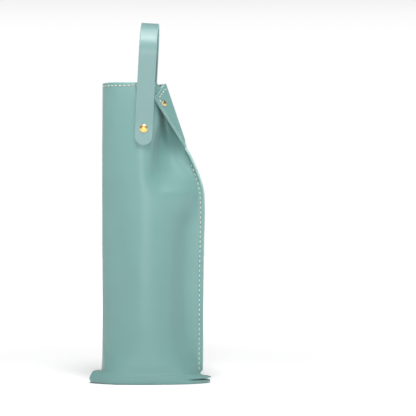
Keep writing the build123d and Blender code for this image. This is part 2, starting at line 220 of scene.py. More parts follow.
# Round the base the cuts are not level, so each point has its height as well: (x, how far forward, z).
BASE_CUTS = [
    [(50.4, 1.6, 10.0), (47.5, 8, 9.8), (40.5, 16, 10), (31, 22.2, 11), (8, 26.4, 12), (-24, 26.2, 12.6),
     (-38, 22.8, 12.8), (-45, 16.6, 13), (-49.2, 8, 13.2), (-49.8, 0, 13.2)],
    [(52.5, 1.6, 8.1), (50, 8, 8.0), (42, 16.5, 8.6), (31, 22.6, 9.6), (8, 26.4, 10.6), (-24, 26.2, 11.4),
     (-38.5, 23, 11.9), (-46.5, 16.6, 12.1), (-51.2, 8.4, 12.1), (-51.8, 0, 12.0)],
    [(60.6, 1.5, 6.7), (58.5, 7.4, 6.8), (49, 14.4, 7.2), (36, 21.2, 8.2), (8, 26.4, 9.2), (-24, 26.2, 10),
     (-40, 22.8, 11.0), (-50, 16.2, 11.5), (-57.6, 9, 11.6), (-58.4, 0, 11.5)],
    [(61.6, 1.5, 6.0), (59.4, 7.5, 6.0), (50, 14.6, 6.2), (37, 21.3, 6.8), (8, 26.4, 7.6), (-24, 26.2, 8),
     (-40.6, 22.8, 8.8), (-51, 16.4, 9.2), (-59.2, 9.2, 9.6), (-60.0, 0, 9.6)],
    [(61.2, 1.5, 5.3), (59.0, 7.4, 5.2), (50, 14.4, 5.4), (37, 21.3, 5.8), (8, 26.35, 6.2), (-24, 26.1, 6.2),
     (-41, 22.8, 6.8), (-51.6, 16.4, 7), (-60.2, 9.2, 7.2), (-61.2, 0, 7.2)],
    [(53.6, 1.3, 5.0), (52.2, 6.4, 4.9), (46.4, 13.9, 4.9), (36.8, 21.2, 5.0), (8, 26.3, 5.0),
     (-24, 26.05, 4.8), (-41, 22.8, 5.4), (-51.8, 16.4, 5.4), (-60.8, 9.1, 5.5), (-61.8, 0, 5.5)],
    [(53.6, 1.3, 3.7), (52.2, 6.4, 3.8), (46.4, 13.9, 4.0), (36.8, 21.2, 4.1), (8, 26.2, 4.0),
     (-24, 26.0, 3.8), (-41, 22.7, 4.3), (-51.8, 16.2, 4.2), (-61.0, 9.0, 4.2), (-62.0, 0, 4.2)],
    [(60.2, 1.5, 3.2), (58.6, 7.2, 3.2), (49.6, 14.4, 3.3), (37, 21.2, 3.3), (8, 26.0, 3.0), (-24, 25.8, 2.8),
     (-41, 22.4, 3.2), (-51.6, 16, 3.2), (-60.6, 8.9, 3.2), (-61.8, 0, 3.2)],
    [(60.6, 1.5, 1.8), (59.0, 7.3, 1.8), (50, 14.4, 1.8), (37, 21.0, 1.7), (8, 25.4, 1.6), (-24, 25.3, 1.6),
     (-40.6, 22.0, 1.9), (-51, 15.6, 2.0), (-60.0, 8.6, 2.1), (-61.4, 0, 2.1)],
    [(59.8, 1.4, 0.7), (58.0, 7.0, 0.7), (49, 13.8, 0.6), (36.5, 20.0, 0.4), (8, 23.8, 0.3), (-24, 23.8, 0.3),
     (-39.6, 20.6, 0.6), (-50, 14.6, 0.9), (-58.4, 8.0, 1.2), (-60.0, 0, 1.3)],
    [(56, 1.0, 0.9), (54, 5, 0.8), (45, 9, 0.6), (34, 12.5, 0.5), (8, 14, 0.4), (-24, 14, 0.4),
     (-38, 12.5, 0.6), (-47, 9, 0.9), (-55, 5, 1.2), (-57, 0, 1.4)],
    [(50, 0.3, 1.2), (48, 0.4, 1.2), (40, 0.4, 1.0), (30, 0.4, 0.9), (8, 0.4, 0.8), (-24, 0.4, 0.8),
     (-36, 0.4, 0.9), (-44, 0.4, 1.1), (-50, 0.4, 1.3), (-53, 0, 1.4)],
]


def smooth_line(points, count):
    """Evenly spaced points on a smooth curve through these, upright at its far end where it meets y = 0."""
    p = np.array(points, float)
    ghost = p[-2].copy()
    ghost[1] *= -1
    p = np.vstack([2 * p[0] - p[1], p, ghost])
    fine = []
    for a, b, c, d in zip(p, p[1:], p[2:], p[3:]):
        for t in np.linspace(0, 1, 24, endpoint=False):
            fine.append(0.5 * (2 * b + (c - a) * t + (2 * a - 5 * b + 4 * c - d) * t * t
                               + (3 * b - a - 3 * c + d) * t ** 3))
    fine.append(p[-2])
    fine = np.array(fine)
    run = np.concatenate([[0], np.cumsum(np.linalg.norm(np.diff(fine, axis=0), axis=1))])
    at = np.linspace(0, run[-1], count)
    return np.stack([np.interp(at, run, fine[:, k]) for k in range(fine.shape[1])], axis=1)


def between(keys, values, at):
    """Values at places between keys, each coordinate easing from key to key with no overshoot."""
    keys, values = np.array(keys, float), np.array(values, float)
    gap = np.diff(keys)
    slope = np.diff(values, axis=0) / gap.reshape(-1, *[1] * (values.ndim - 1))
    tangent = np.zeros_like(values)
    same = slope[:-1] * slope[1:] > 0
    safe = np.where(same, slope[:-1] + slope[1:], 1.0)
    tangent[1:-1] = np.where(same, 2 * slope[:-1] * slope[1:] / safe, 0.0)
    tangent[0], tangent[-1] = slope[0], slope[-1]
    out = []
    for z in np.atleast_1d(at):
        i = int(np.clip(np.searchsorted(keys, z) - 1, 0, len(keys) - 2))
        t = (z - keys[i]) / gap[i]
        out.append((2 * t ** 3 - 3 * t ** 2 + 1) * values[i] + (t ** 3 - 2 * t ** 2 + t) * gap[i] * tangent[i]
                   + (-2 * t ** 3 + 3 * t ** 2) * values[i + 1] + (t ** 3 - t ** 2) * gap[i] * tangent[i + 1])
    return np.array(out)


def side_rows(cuts, side):
    """Rows of points down one side of the bag, from the mouth to the base's centre line."""
    keys, lines = [], []
    for z, points in sorted(cuts, key=lambda cut: -cut[0]):
        line = smooth_line(points, ACROSS)
        keys.append(-z)
        lines.append(np.column_stack([line[:, 0], line[:, 1], np.full(ACROSS, z)]))
    for points in BASE_CUTS:
        line = smooth_line(points, ACROSS)
        keys.append(keys[-1] + max(0.8, float(np.linalg.norm(line - lines[-1], axis=1).mean())))
        lines.append(line)
    base_from = keys[len(cuts) - 1]
    at = np.concatenate([np.arange(keys[0], base_from, 2.4), np.arange(base_from, keys[-1], 0.7), [keys[-1]]])
    rows = between(keys, np.array(lines), at)
    rows[:, :, 1] *= side
    return rows


front = side_rows(FRONT_CUTS, -1)
back = side_rows(BACK_CUTS, 1)


def matched(rows, total):
    """The same rows, resampled to a number of them."""
    at = np.linspace(0, len(rows) - 1, total)
    low = np.floor(at).astype(int).clip(0, len(rows) - 2)
    share = (at - low).reshape(-1, 1, 1)
    return rows[low] * (1 - share) + rows[low + 1] * share


# The front and back can come out a row apart, and each row of one has to meet a row of the other.
if len(front) != len(back):
    back = matched(back, len(front))


def dents(rows, phase):
    """Shallow dents a few centimetres long, because leather is never quite even."""
    x, z = rows[:, :, 0], rows[:, :, 2]
    depth = 0.16 * np.sin(x * 0.075 + phase + 1.6 * np.sin(z * 0.021 + phase)) * np.sin(z * 0.036 + 2 * phase)
    depth += 0.05 * np.sin(x * 0.16 - z * 0.055 + 3 * phase)
    fade = np.clip((z - 16) / 30, 0, 1) * np.clip((RIM + 4 - z) / 20, 0.25, 1)
    rows[:, :, 1] += depth * fade
    return rows


front, back = dents(front, 0.4), dents(back, 2.1)


def crease(rows, start, end, width, depth):
    """Presses a soft V into the front along a line from start to end, given as x and z."""
    a, b = np.array(start, float), np.array(end, float)
    p = rows[:, :, [0, 2]]
    t = np.clip(((p - a) @ (b - a)) / ((b - a) @ (b - a)), 0, 1)
    away = np.linalg.norm(p - (a + t[..., None] * (b - a)), axis=2)
    strength = np.exp(-(away / width) ** 2) * np.sin(np.clip(t, 0.02, 0.98) * math.pi) ** 0.6
    rows[:, :, 1] += np.where(rows[:, :, 1] < 0, depth * strength, 0)
    return rows


# The soft crease above the left tab.
front = crease(front, (-47.5, 50), (-39, 15), width=3.0, depth=1.6)
# Above the middle the strap swings close by, so the bag is a little slimmer there.
for rows in (front, back):
    rows[:, :, 1] *= np.interp(rows[:, :, 2], [105, 165], [1.0, 0.9])
# The fold drags the front's rim down beside it, and the sheet below the rim less and less.
DRAG, DRAG_X, DRAG_DEEP = 5.0, 12.2, 28
drag = DRAG * np.exp(-((front[:, :, 0] - DRAG_X) / 3.0) ** 2) * np.clip((-front[:, :, 1] - 3) / 8, 0, 1)
front[:, :, 2] -= drag * np.clip((front[:, :, 2] - RIM + DRAG_DEEP) / DRAG_DEEP, 0, 1)


def edge_x(z):
    """The seam's raw edge, in x."""
    keys = [0, 14, 22, 60, 110, 150, 180, 190, 198, 208, 219, 229, 236, FOLD_END_Z, RIM]
    xs = [54.0, 54.2, 54.6, 54.8, 55.2, 55.8, 56.5, 56.4, 55.2, 52.4, 48.2, 43.6, 40.2, 38.0, 14]
    return float(between(keys, np.array(xs).reshape(-1, 1), z)[0, 0])


def fin_frame(middle, z):
    """The two sewn layers that stand out past the seam: which way, square to them, and how far."""
    lean = math.radians(np.interp(z, [11, 20, 150, 180, 193, 205, 218, 230, FOLD_END_Z],
                                  [-25, 6, 8, 12, 19, 31, 46, 60, 72]))
    grow = np.interp(z, [10, 13, 236, FOLD_END_Z], [0.25, 1, 1, 0.5])
    reach = np.clip((edge_x(z) - middle[0]) / math.cos(lean), 1.2, 6.4) * grow
    out = np.array([math.cos(lean), -math.sin(lean), 0])
    side = np.array([math.sin(lean), math.cos(lean), 0])
    return out, side, reach


def on_fin(row, z, from_edge, face):
    """A place on the seam's layers, in from the raw edge, on the front (-1) or back (1) face."""
    middle = (row[ACROSS - 1] + row[ACROSS + CAP]) / 2
    out, side, reach = fin_frame(middle, z)
    along = reach - from_edge
    point = middle + out * along + side * face * SHEET * 0.95
    point[2] = z
    return point, side * face


def seam_cap(row_front, row_back):
    """Points round the raw edge of the seam, from the front's end to the back's end."""
    a, b = row_front[0], row_back[0]
    z = a[2]
    middle = (a + b) / 2
    if z > FOLD_END_Z or z < 10:
        turn = np.linspace(0, math.pi, CAP + 2)[1:-1]
        half = abs(b[1] - a[1]) / 2
        return np.column_stack([middle[0] + 0.9 * half * np.sin(turn), middle[1] - half * np.cos(turn),
                                np.full(CAP, z)])
    out, side, reach = fin_frame(middle, z)
    spots = [(0.45, -1.0), (0.94, -1.0), (1.0, -0.78), (1.0, -0.26), (0.76, 0.0), (1.0, 0.26), (1.0, 0.78),
             (0.94, 1.0), (0.45, 1.0)]
    return np.array([middle + out * reach * u + side * SHEET * v for u, v in spots])


# Each row runs from the left bend over the front to the seam, round its raw edge, and back behind.
rows_out = np.array([np.vstack([f[::-1], seam_cap(f, b), b[:-1]]) for f, b in zip(front, back)])


def grid_normals(rows):
    """Outward normals of a grid of closed rows."""
    along = np.roll(rows, -1, axis=1) - np.roll(rows, 1, axis=1)
    n = np.cross(np.gradient(rows, axis=0), along)
    return n / np.maximum(np.linalg.norm(n, axis=2, keepdims=True), 1e-9)


normals = grid_normals(rows_out)


def inner_rows(offset, total):
    """The first rows again, that far in from the outside, with the two layers meeting before the seam."""
    rows = rows_out[:total]
    inside = rows - normals[:total] * offset
    front_part, cap_part, back_part = np.split(inside, [ACROSS, ACROSS + CAP], axis=1)
    halfway = (rows[:, 1:ACROSS, 1] + rows[:, ACROSS + CAP:, 1][:, ::-1]) / 2
    front_part[:, 1:, 1] = np.minimum(front_part[:, 1:, 1], halfway - 0.06)
    back_part[:, ::-1, 1] = np.maximum(back_part[:, ::-1, 1], halfway + 0.06)
    front_part[:, 0, 1] = 0
    share = np.linspace(0, 1, CAP + 2)[1:-1, None]
    for r in range(len(rows)):
        limit = rows[r, ACROSS - 1, 0] - 0.8
        front_part[r, :, 0] = np.minimum(front_part[r, :, 0], limit)
        back_part[r, :, 0] = np.minimum(back_part[r, :, 0], limit)
        cap_part[r] = front_part[r, -1] * (1 - share) + back_part[r, 0] * share
    return np.concatenate([front_part, cap_part, back_part], axis=1)


def mesh_object(name, points, faces, materials, slots=None):
    """A smooth mesh, its points given in mm."""
    mesh = bpy.data.meshes.new(name)
    mesh.from_pydata([tuple(p * MM) for p in points], [], faces)
    mesh.validate()
    shell = bmesh.new()
    shell.from_mesh(mesh)
    bmesh.ops.recalc_face_normals(shell, faces=shell.faces)
    shell.to_mesh(mesh)
    shell.free()
    for m in materials:
        mesh.materials.append(m)
    if slots is not None:
        mesh.polygons.foreach_set("material_index", slots)
    mesh.polygons.foreach_set("use_smooth", [True] * len(mesh.polygons))
    made = bpy.data.objects.new(name, mesh)
    bpy.context.scene.collection.objects.link(made)
    return made


def loop_faces(rows, width, start=0):
    """Quads between closed rows of one width."""
    faces = []
    for r in range(rows - 1):
        for c in range(width):
            d = (c + 1) % width
            a = start + r * width
            faces.append((a + c, a + d, a + width + d, a + width + c))
    return faces


# The skin runs up the outside from the base's centre line, over the rim, and down the inside to the floor.
WIDTH = 2 * ACROSS + CAP - 1
RIM_CROWN = 0.35
INSIDE_FLOOR_Z = 15
floor_row = int(np.argmax(rows_out[:, ACROSS // 2, 2] < INSIDE_FLOOR_Z))
inside = inner_rows(SHEET, floor_row)
rim_crown = (rows_out[0] + inside[0]) / 2
rim_crown[:, 2] += RIM_CROWN
outer = rows_out[::-1]
stack = [*outer, rim_crown, *inside]
points = np.concatenate(stack)
faces = loop_faces(len(stack), WIDTH)


def zip_faces(start, flip):
    """Closes a flattened row: each point of the front is joined to the one behind it."""
    made = []
    for c in range(ACROSS - 1):
        behind = WIDTH - c
        quad = [start + c, start + c + 1, start + behind - 1, start + (behind % WIDTH)]
        if c == 0:
            quad = [start, start + 1, start + WIDTH - 1]
        made.append(tuple(quad[::-1] if flip else quad))
    ring = [start + ACROSS - 1 + k for k in range(CAP + 2)]
    made.append(tuple(ring[::-1] if flip else ring))
    return made


faces += zip_faces(0, False)
faces += zip_faces((len(stack) - 1) * WIDTH, True)
FACE_SLOT, CUT_SLOT, BACKING_SLOT = 0, 1, 2
RAW_EDGE_FROM_Z = 12
raw_edge = range(ACROSS + 1, ACROSS + CAP - 2)
slots = []
for face in faces:
    row, column = divmod(face[0], WIDTH)
    if row > len(outer):
        slots.append(BACKING_SLOT)
    elif row >= len(outer) - 1 or (column in raw_edge and outer[row][0][2] > RAW_EDGE_FROM_Z):
        slots.append(CUT_SLOT)
    else:
        slots.append(FACE_SLOT)
bag_sheet = mesh_object("bag_sheet", points, faces, [LEATHER, CUT_EDGE, BACKING], slots)
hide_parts("body_sheet")
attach(bag_sheet, "bag")

# ==== The mouth facing =======================================================================================
# The sheet is turned in round the mouth and stuck down, 10 mm deep, so the rim is a soft double edge. Its face
# is the same coated leather. Turned over a folding bone, then held by the row of stitches below the rim.

FACING_DEEP = 10.0
FACING = 0.9
FROM_SEAM = 6
facing_rows = int(np.argmax(rows_out[:, ACROSS // 2, 2] < RIM - FACING_DEEP))
near = inner_rows(SHEET + 0.05, facing_rows)
far = inner_rows(SHEET + FACING, facing_rows)
near[0, :, 2] -= 0.1
far[0, :, 2] -= 0.35
# It stops a few columns short of the seam on both sides.
columns = [c % WIDTH for c in range(ACROSS + CAP + FROM_SEAM, WIDTH + ACROSS - FROM_SEAM)]
rings = [np.vstack([near[:, c], far[::-1, c]]) for c in columns]
RING = 2 * facing_rows
faces = loop_faces(len(rings), RING)
faces += [tuple(range(RING)), tuple(range((len(rings) - 1) * RING, len(rings) * RING))]
facing = mesh_object("mouth_facing_hem", np.concatenate(rings), faces, [LEATHER])
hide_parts("mouth_facing")
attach(facing, "bag")

# ==== The stitching ==========================================================================================
# Lock stitches in waxed polyester thread, off-white, about 0.7 mm thick. Each lies proud of the leather and
# dips at both ends into a needle hole that it has pulled open; each hole is a small dark plug of painted shade.
# Sewn by machine, 4.5 to 5 mm to the stitch.


def twisted_thread(name, pale, deep):
    """Three-strand thread: fine slanting bands, a little shine on each strand."""
    made, tree, shader = material(name)
    place = add(tree, "ShaderNodeTexCoord").outputs["Object"]
    # Slanting bands are tau / 10 units apart along an axis, so these are 1 mm apart along the thread.
    strands = add(tree, "ShaderNodeTexWave", {"Scale": 1 / (0.25 * MM * math.tau), "Distortion": 0.6,
                                              "bands_direction": "DIAGONAL"}, Vector=place)
    tone = add(tree, "ShaderNodeMix", {"data_type": "RGBA", 6: srgb(deep), 7: srgb(pale)},
               i0=strands.outputs["Fac"])
    tree.links.new(tone.outputs[2], shader.inputs["Base Color"])
    bump = add(tree, "ShaderNodeBump", {"Strength": 0.5, "Distance": 0.08 * MM}, Height=strands.outputs["Fac"])
    tree.links.new(bump.outputs["Normal"], shader.inputs["Normal"])
    shader.inputs["Roughness"].default_value = 0.6
    shader.inputs["Sheen Weight"].default_value = 0.2
    return made


# Eye: small bright dashes, warmer than the leather.
THREAD = twisted_thread("waxed_polyester_thread_off_white", "#e3e0d6", "#cbc8bd")
# Eye: dark pinpricks between the stitches, painted shade standing in for the needle holes.
NEEDLE_HOLE_SHADE = coated_leather("needle_hole_painted_shade", "#4d6663", "#3c5350", 0.8, 0.02)
STITCH_LONG = 3.5
THREAD_RADIUS = 0.37
HOLE_SHADE_RADIUS = 0.36
STITCH_ROUND = 8
STITCH_STEPS = 7
THREAD_SLOT, HOLE_SHADE_SLOT = 0, 1


def stitches(name, places, body, node):
    """One mesh of stitches, each given by its place on the leather, its direction and the way out."""
    points, faces, slots = [], [], []
    for at, along, out in places:
        side = np.cross(along, out)
        start = len(points)
        for t in np.linspace(-1, 1, STITCH_STEPS):
            thick = THREAD_RADIUS * math.sqrt(max(0.12, 1 - abs(t) ** 3.2))
            centre = at + along * (t * STITCH_LONG / 2) + out * (0.26 - 0.42 * t ** 4)
            for k in range(STITCH_ROUND):
                turn = 2 * math.pi * k / STITCH_ROUND
                points.append(centre + (side * math.cos(turn) + out * math.sin(turn)) * thick)
        count = STITCH_STEPS * STITCH_ROUND
        made = loop_faces(STITCH_STEPS, STITCH_ROUND, start)
        made += [tuple(range(start, start + STITCH_ROUND))[::-1]]
        made += [tuple(range(start + count - STITCH_ROUND, start + count))]
        faces += made
        slots += [THREAD_SLOT] * len(made)
        # At both ends a short dark plug stands in the needle hole: painted shade, not a real opening.
        for end in (-1, 1):
            start = len(points)
            middle = at + along * (end * (STITCH_LONG / 2 + 0.2))
            for height in (-0.25, 0.07):
                for k in range(STITCH_ROUND):
                    turn = 2 * math.pi * k / STITCH_ROUND
                    round_shade = side * math.cos(turn) + along * math.sin(turn)
                    points.append(middle + out * height + round_shade * HOLE_SHADE_RADIUS)
            made = loop_faces(2, STITCH_ROUND, start)
            made += [tuple(range(start, start + STITCH_ROUND))[::-1]]
            made += [tuple(range(start + STITCH_ROUND, start + 2 * STITCH_ROUND))]
            faces += made
            slots += [HOLE_SHADE_SLOT] * len(made)
    row = mesh_object(name, points, faces, [THREAD, NEEDLE_HOLE_SHADE], slots)
    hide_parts(node)
    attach(row, body)


def spaced(path, outs, pitch):
    """Stitch places one pitch apart along a path that lies on the leather."""
    path, outs = np.array(path), np.array(outs)
    run = np.concatenate([[0], np.cumsum(np.linalg.norm(np.diff(path, axis=0), axis=1))])
    places = []
    for at in np.arange(pitch / 2, run[-1] - pitch / 4, pitch):
        here = np.array([np.interp(at, run, path[:, k]) for k in range(3)])
        ahead = np.array([np.interp(min(at + 0.5, run[-1]), run, path[:, k]) for k in range(3)])
        behind = np.array([np.interp(max(at - 0.5, 0), run, path[:, k]) for k in range(3)])
        along = (ahead - behind) / np.linalg.norm(ahead - behind)
        out = np.array([np.interp(at, run, outs[:, k]) for k in range(3)])
        out -= along * (out @ along)
        places.append((here, along, out / np.linalg.norm(out)))
    return places


RIM_STITCH_DOWN = 2.9
RIM_PITCH = 4.5
RIM_STITCHES_TO_X = 6.0
columns = [c % WIDTH for c in range(ACROSS + CAP + 3, WIDTH + ACROSS - 3)]
columns = [c for c in columns if rows_out[0, c, 0] < RIM_STITCHES_TO_X]
share = RIM_STITCH_DOWN / (rows_out[0, 0, 2] - rows_out[2, 0, 2])
path = rows_out[0, columns] * (1 - share) + rows_out[2, columns] * share
rim_places = spaced(path, normals[1, columns], RIM_PITCH)
stitches("rim_lock_stitches", rim_places, "bag", "rim_stitching")

SEAM_STITCH_IN = 4.0
SEAM_PITCH = 5.0
SEAM_STITCHES_FROM_Z, SEAM_STITCHES_TO_Z = 12.5, 226
seam_places = []
for side in (-1, 1):
    path, outs = [], []
    for z in np.arange(SEAM_STITCHES_FROM_Z, SEAM_STITCHES_TO_Z, 1.5):
        r = int(np.argmin(np.abs(rows_out[:, ACROSS - 1, 2] - z)))
        point, out = on_fin(rows_out[r], z, SEAM_STITCH_IN, side)
        path.append(point)
        outs.append(out)
    seam_places += spaced(path, outs, SEAM_PITCH)
stitches("side_seam_lock_stitches", seam_places, "bag", "side_seam_stitching")

# ==== The folded corner ======================================================================================
# The top corner of the seam, folded forward over the front and riveted to itself. Two layers of the sheet, so
# its cut edge shows two pale lines with a dark one between. Folded by hand and pressed, with a soft fold.

FOLD = math.radians(128)
across_fold = np.array([-fold_along[2], 0, fold_along[0]])
flap_way = math.cos(FOLD) * across_fold - math.sin(FOLD) * np.array([0, 1, 0])
flap_out = math.sin(FOLD) * across_fold + math.cos(FOLD) * np.array([0, 1, 0])
LAYERS = 2.8
# Places on the corner are (reach, drop): how far out from the fold, and how far down along it.
FLAP_START = np.array([0.0, 0.3])
FLAP_TIP = np.array([24.0, 11.8])
FLAP_END = np.array([0.0, 69.4])
FLAP_MIDDLE = np.array([7.5, 24.0])
TIP_ROUND = 1.6


def flap_at(reach, drop, lift):
    """A place on the corner: across from the fold, down along it, and up from its inner face."""
    curl = 0.0009 * reach * reach
    return fold_top + flap_way * reach + fold_along * drop + flap_out * (lift + curl)


def flap_outline():
    """Round the corner, with its tip a little rounded: (reach, drop) and the way out."""
    to_top = (FLAP_START - FLAP_TIP) / np.linalg.norm(FLAP_START - FLAP_TIP)
    to_end = (FLAP_END - FLAP_TIP) / np.linalg.norm(FLAP_END - FLAP_TIP)
    a, b = FLAP_TIP + to_top * TIP_ROUND, FLAP_TIP + to_end * TIP_ROUND
    line = [FLAP_START + (a - FLAP_START) * t for t in np.linspace(0, 1, 40, endpoint=False)]
    line += [(1 - t) ** 2 * a + 2 * t * (1 - t) * FLAP_TIP + t * t * b
             for t in np.linspace(0, 1, 7, endpoint=False)]
    line += [b + (FLAP_END - b) * t for t in np.linspace(0, 1, 80, endpoint=False)]
    line += [FLAP_END + (FLAP_START - FLAP_END) * t for t in np.linspace(0, 1, 60, endpoint=False)]
    line = np.array(line)
    along = np.roll(line, -1, axis=0) - np.roll(line, 1, axis=0)
    out = np.column_stack([-along[:, 1], along[:, 0]])
    out /= np.linalg.norm(out, axis=1, keepdims=True)
    if (out * (line - line.mean(axis=0))).sum() < 0:
        out *= -1
    return line, out


outline, way_out = flap_outline()
# Over the cut edge from the face: (how far out, lift), with the gap between the two layers.
EDGE_PROFILE = [(-0.35, LAYERS), (-0.1, LAYERS - 0.08), (0.02, LAYERS - 0.35), (0.0, 1.78), (-0.12, 1.7),
                (-1.5, 1.66), (-1.5, 1.14), (-0.12, 1.1), (0.0, 1.02), (0.02, 0.35), (-0.1, 0.08),
                (-0.35, 0.0)]
SPREAD = [0.06, 0.2, 0.35, 0.5, 0.65, 0.78, 0.88, 0.95]
rings = []
for share in SPREAD:
    rings.append([flap_at(*(FLAP_MIDDLE + (p - FLAP_MIDDLE) * share), LAYERS) for p in outline])
for outward, lift in EDGE_PROFILE:
    rings.append([flap_at(*(p + w * outward), lift) for p, w in zip(outline, way_out)])
for share in SPREAD[::-1]:
    rings.append([flap_at(*(FLAP_MIDDLE + (p - FLAP_MIDDLE) * share), 0.0) for p in outline])
LOOP = len(outline)
faces = loop_faces(len(rings), LOOP)
faces += [tuple(range(LOOP))[::-1], tuple(range((len(rings) - 1) * LOOP, len(rings) * LOOP))]
edge_rings = range(len(SPREAD), len(SPREAD) + len(EDGE_PROFILE) - 1)
slots = [CUT_SLOT if f[0] // LOOP in edge_rings else FACE_SLOT for f in faces]
corner = mesh_object("corner_flap", np.array(rings).reshape(-1, 3), faces, [LEATHER, CUT_EDGE], slots)
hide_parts("folded_corner")
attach(corner, "corner")

# The fold itself: the outer layer runs round the fold line, from the back of the tube to the corner's face.
up_back = np.array([0, 1, 0])
BEND_LONG = 67.5
BEND_THINS_OVER = 9
INNER_LAYER = 1.4
THINNED_FROM = 1.3
section = [(-2.8, 2.3), (-1.2, 2.62)]
turns = np.linspace(math.pi / 2, math.pi / 2 - FOLD, 18)
section += [(LAYERS * math.cos(t), LAYERS * math.sin(t)) for t in turns]
section += [(0.0, 0.05), (-1.2, 1.2), (-2.8, INNER_LAYER)]
rings = []
for drop in np.linspace(FLAP_START[1], BEND_LONG, 46):
    thin = min(1.0, 0.35 + (BEND_LONG - drop) / BEND_THINS_OVER)
    ring = []
    for a, b in section:
        up = INNER_LAYER + (b - INNER_LAYER) * thin if b > THINNED_FROM else b
        ring.append(fold_top + fold_along * drop + across_fold * a * thin + up_back * up)
    rings.append(ring)
LOOP = len(section)
faces = loop_faces(len(rings), LOOP)
faces += [tuple(range(LOOP))[::-1], tuple(range((len(rings) - 1) * LOOP, len(rings) * LOOP))]
knuckle = mesh_object("corner_fold_bend", np.array(rings).reshape(-1, 3), faces, [LEATHER])
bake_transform(knuckle)

# Its stitches: along the mouth edge and along the seam edge, on both faces. Each edge is given by its start
# and its end, and by how far from them the row begins and stops.
CORNER_STITCH_IN = 3.8
CORNER_PITCH = 4.5
FROM_TIP = 4.6
FACE_SEAM_ROW = 9.2
mouth_edge = (FLAP_START, FLAP_TIP, 3.5, FROM_TIP)
seam_edge = (FLAP_TIP, FLAP_END, FROM_TIP, 14)
corner_places = []
for lift, face_out in ((LAYERS, flap_out), (0.0, -flap_out)):
    for edge in (mouth_edge, seam_edge):
        edge_start, edge_end, start_gap, end_gap = edge
        way = (edge_end - edge_start) / np.linalg.norm(edge_end - edge_start)
        inward = np.array([-way[1], way[0]])
        if inward @ (FLAP_MIDDLE - edge_start) < 0:
            inward = -inward
        begin = edge_start + inward * CORNER_STITCH_IN + way * start_gap
        stop = edge_end + inward * CORNER_STITCH_IN - way * end_gap
        if edge is seam_edge and lift > 0:
            stop = begin + way * FACE_SEAM_ROW
        path = [flap_at(*(begin + (stop - begin) * t), lift) for t in np.linspace(0, 1, 40)]
        corner_places += spaced(path, [face_out] * 40, CORNER_PITCH)
stitches("corner_lock_stitches", corner_places, "corner", "corner_stitching")

# ==== The strap ==============================================================================================
# The carrying strap: two plies of the same leather stuck back to back, 18 mm wide and 2.5 mm thick, with round
# ends and smoothly painted edges. Cut with a strap knife, glued, then the edges burnished and painted.

# Eye: the same leather pressed smoother, so its grain is shallower; its colour is painted shade, a shade greyer
# and a touch darker, because the strap faces the lamps more squarely than the bag.
STRAP_LEATHER_SHADED = coated_leather("polyurethane_coated_leather_strap_pressed_painted_shade", "#719391", "#6f918f", 0.4, 0.025)
STRAP_HALF = 9.0
PLY = 1.25
LEG_Y = 26.6
SPLAY = math.radians(5)
swing_joint = [j for j in frame["joints"] if j["name"] == "handle_swing"][0]
RIVET = np.array(swing_joint["pos_m"]) / MM
STRAP_TOP = RIM + 62.5
LEAN = math.radians(3.1)
knee_z = RIVET[2] + 5
end_z = RIVET[2] - 16.8
crown_r = (LEG_Y + math.tan(SPLAY) * (STRAP_TOP - knee_z)) / (
    math.cos(SPLAY) + math.tan(SPLAY) * (1 + math.sin(SPLAY)))
crown_z = STRAP_TOP - crown_r
arch_y, arch_z = crown_r * math.cos(SPLAY), crown_z - crown_r * math.sin(SPLAY)


def strap_path():
    """The strap's outside face from its front end to its back end, every 1.2 mm: (y, z) and the way out."""
    leg = [(-LEG_Y, z) for z in np.arange(end_z, knee_z - 2, 1.2)]
    rise = np.linspace(0, 1, 34)
    leg += [(-LEG_Y + (LEG_Y - arch_y) * t, knee_z + (arch_z - knee_z) * t) for t in rise]
    turns = np.linspace(math.pi + SPLAY, math.pi / 2, 40)[1:]
    leg += [(crown_r * math.cos(t), crown_z + crown_r * math.sin(t)) for t in turns]
    half = np.array(leg)
    whole = np.vstack([half, half[-2::-1] * [-1, 1]])
    run = np.concatenate([[0], np.cumsum(np.linalg.norm(np.diff(whole, axis=0), axis=1))])
    ends = STRAP_HALF * (1 - np.cos(np.linspace(0.04, math.pi / 2, 14)))
    length = np.arange(STRAP_HALF + 1.2, run[-1] - STRAP_HALF - 0.6, 1.2)
    at = np.concatenate([ends, length, run[-1] - ends[::-1]])
    line = np.stack([np.interp(at, run, whole[:, k]) for k in range(2)], axis=1)
    along = np.gradient(line, axis=0)
    for _ in range(4):
        along[1:-1] = (along[:-2] + 2 * along[1:-1] + along[2:]) / 4
    out = np.column_stack([-along[:, 1], along[:, 0]])
    out /= np.linalg.norm(out, axis=1, keepdims=True)
    from_end = np.minimum(at, run[-1] - at)
    half_wide = np.where(from_end < STRAP_HALF,
                         np.sqrt(np.maximum(0.01, STRAP_HALF ** 2 - (STRAP_HALF - from_end) ** 2)), STRAP_HALF)
    return line, out, half_wide


